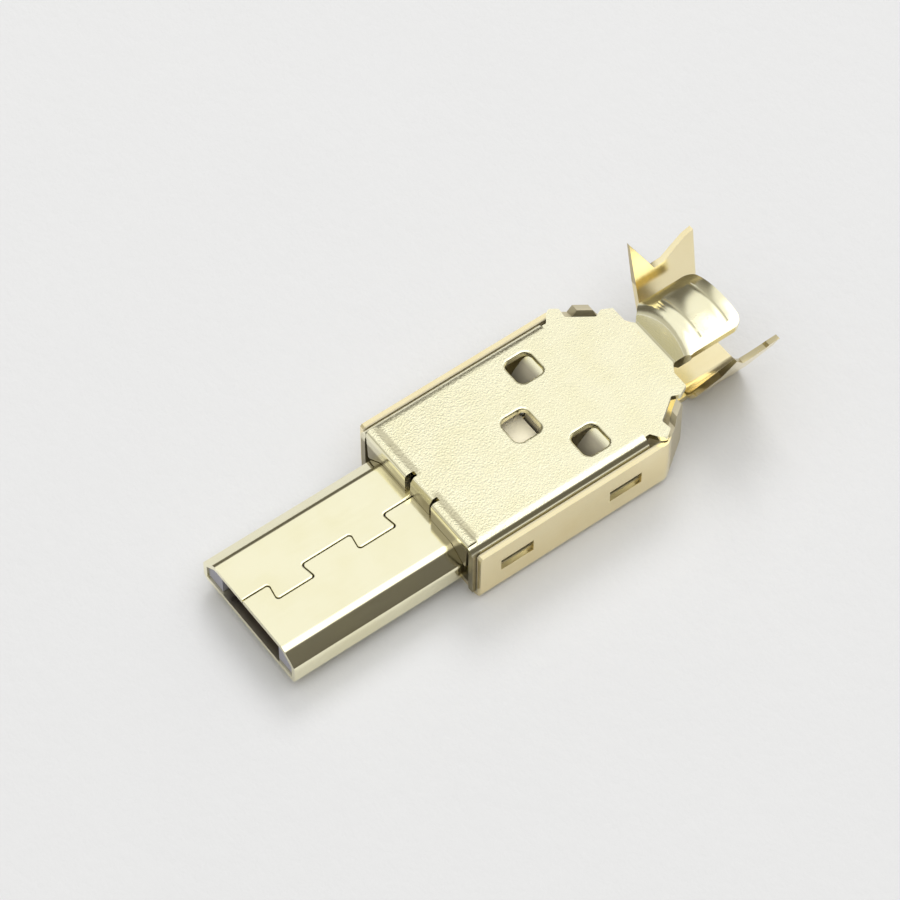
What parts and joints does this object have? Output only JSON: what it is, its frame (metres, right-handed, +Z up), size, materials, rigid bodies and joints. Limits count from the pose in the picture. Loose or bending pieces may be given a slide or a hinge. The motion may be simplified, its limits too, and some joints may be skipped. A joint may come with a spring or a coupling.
{
  "type": "micro usb connector",
  "caption": "Slim micro USB plug with a folded metal cover, side snap windows, solder tails inside and a crimp with notched ears for the cable.",
  "frame": {"origin": "on the table under the middle of the part's bounding box, in the plane of symmetry", "axes": "-Y out of the plug's nose, +Y towards the cable, +Z up from the lower cover to the upper cover"},
  "size_m": [0.0088, 0.0266, 0.0061],
  "materials": {
    "polished_gold": "bright gold plating",
    "satin_gold": "gold plating, blasted on top and bright on the bends",
    "contact_gold": "gold plated contact alloy",
    "spring_gold": "gold plated spring sheet",
    "grey_plastic": "matt moulded plastic"
  },
  "bodies": {
    "root": {"plug_shell": "polished_gold", "upper_cover": "satin_gold", "lower_cover": "polished_gold", "insulator": "grey_plastic", "latch_spring": "spring_gold", "contact_1": "contact_gold", "contact_2": "contact_gold", "contact_3": "contact_gold", "contact_4": "contact_gold", "contact_5": "contact_gold"}
  },
  "joints": []
}
